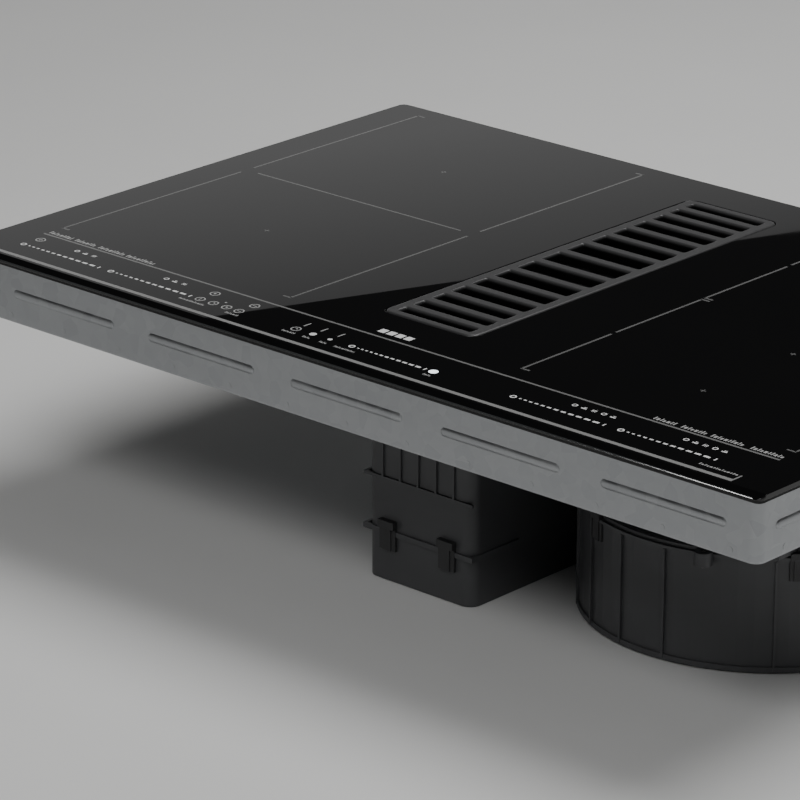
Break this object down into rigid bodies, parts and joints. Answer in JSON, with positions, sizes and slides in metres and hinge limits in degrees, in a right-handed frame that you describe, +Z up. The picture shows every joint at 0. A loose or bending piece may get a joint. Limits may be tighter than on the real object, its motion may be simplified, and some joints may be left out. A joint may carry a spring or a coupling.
{
  "type": "induction cooktop",
  "caption": "Built-in induction cooktop: black glass with two flexible cooking areas, a touch strip and a central slotted grille over a downdraft extractor.",
  "frame": {"origin": "centre of the glass in plan, in the plane where the rim seal meets the worktop", "axes": "+X to the user's right, +Y to the back of the worktop, +Z up"},
  "size_m": [0.8, 0.52, 0.213],
  "materials": {
    "black_glass": "polished black glass ceramic",
    "black_rubber": "closed-cell foam and soft rubber",
    "silicone": "matte silicone",
    "zinc_steel": "galvanised sheet, faint spangle",
    "spring_steel": "satin spring steel",
    "screw_steel": "zinc plated",
    "black_plastic": "fine moulded texture",
    "grey_enamel": "satin dark grey enamel",
    "stainless": "brushed stainless",
    "filter_metal": "expanded metal mesh",
    "tray_plastic": "moulded",
    "duct_plastic": "black moulded polypropylene",
    "impeller_plastic": "moulded",
    "motor_steel": "turned steel",
    "motor_winding": "enamelled copper on a steel core",
    "coil_copper": "enamelled copper litz",
    "coil_carrier": "glass-filled plastic",
    "ferrite": "sintered ferrite",
    "mica": "pressed mica",
    "ceramic_sensor": "white ceramic",
    "shield_aluminium": "rolled aluminium",
    "standoff_brass": "turned brass",
    "circuit_board": "green solder mask",
    "components": "sleeved and moulded parts",
    "led_display": "dark red filter",
    "terminal_white": "moulded",
    "lead_silicone": "silicone sleeving"
  },
  "bodies": {
    "housing": {"glass_panel": "black_glass", "worktop_seal": "black_rubber", "silicone_bead": "silicone", "casing_frame": "zinc_steel", "bottom_plate": "zinc_steel", "casing_screws": "screw_steel", "fixing_clips": "spring_steel", "clip_screws": "screw_steel", "inlet_collar": "black_plastic", "grille_pads": "black_rubber", "shaft_gasket": "black_rubber", "suction_shaft": "duct_plastic", "intake_manifold": "duct_plastic", "scroll_cover": "duct_plastic", "scroll_housing": "duct_plastic", "outlet_spigot": "duct_plastic", "extractor_screws": "screw_steel", "motor_stator": "motor_winding", "motor_bearings": "motor_steel", "driver_box": "black_plastic", "driver_board": "circuit_board", "driver_cover": "black_plastic", "coil_left_front": "coil_copper", "coil_left_rear": "coil_copper", "coil_right_1": "coil_copper", "coil_right_2": "coil_copper", "coil_right_3": "coil_copper", "coil_right_4": "coil_copper", "coil_carriers": "coil_carrier", "ferrite_bars": "ferrite", "mica_sheets": "mica", "coil_sensors": "ceramic_sensor", "coil_supports": "silicone", "shield_plates": "shield_aluminium", "shield_standoffs": "standoff_brass", "power_board_left": "circuit_board", "power_board_right": "circuit_board", "heatsinks": "shield_aluminium", "board_components": "components", "fan_frame_left": "black_plastic", "fan_frame_right": "black_plastic", "touch_carrier": "black_plastic", "touch_board": "circuit_board", "led_displays": "led_display", "mains_filter_board": "circuit_board", "terminal_box": "black_plastic", "terminal_block": "terminal_white", "wiring_harness": "lead_silicone"},
    "drip_tray": {"drip_tray": "tray_plastic"},
    "filter": {"filter_frame": "stainless", "filter_mesh": "filter_metal"},
    "bail": {"filter_bail": "stainless"},
    "grille": {"vent_grille": "grey_enamel"},
    "impeller": {"impeller": "impeller_plastic", "motor_rotor": "motor_steel", "motor_shaft": "motor_steel"},
    "fan_left": {"fan_rotor_left": "black_plastic"},
    "fan_right": {"fan_rotor_right": "black_plastic"},
    "terminal_lid": {"terminal_cover": "black_plastic"}
  },
  "joints": [
    {"name": "tray_lift", "type": "slide", "parent": "housing", "child": "drip_tray", "axis": [0, 0, 1], "range_m": [0, 0.215]},
    {"name": "filter_lift", "type": "slide", "parent": "drip_tray", "child": "filter", "axis": [0, 0, 1], "range_m": [0, 0.13]},
    {"name": "grille_lift", "type": "slide", "parent": "filter", "child": "grille", "axis": [0, 0, 1], "range_m": [0, 0.05]},
    {"name": "bail_fold", "type": "hinge", "parent": "filter", "child": "bail", "pos_m": [0, 0.092, -0.044], "axis": [1, 0, 0], "range_deg": [0, 90]},
    {"name": "impeller_spin", "type": "hinge", "parent": "housing", "child": "impeller", "pos_m": [0.19, 0, -0.18], "axis": [0, 0, 1], "continuous": true},
    {"name": "fan_left_spin", "type": "hinge", "parent": "housing", "child": "fan_left", "pos_m": [-0.112, -0.138, -0.04], "axis": [0, 0, 1], "continuous": true},
    {"name": "fan_right_spin", "type": "hinge", "parent": "housing", "child": "fan_right", "pos_m": [0.112, -0.138, -0.04], "axis": [0, 0, 1], "continuous": true},
    {"name": "terminal_lid_hinge", "type": "hinge", "parent": "housing", "child": "terminal_lid", "pos_m": [-0.25, 0.1745, -0.078], "axis": [-1, 0, 0], "range_deg": [0, 95]}
  ]
}
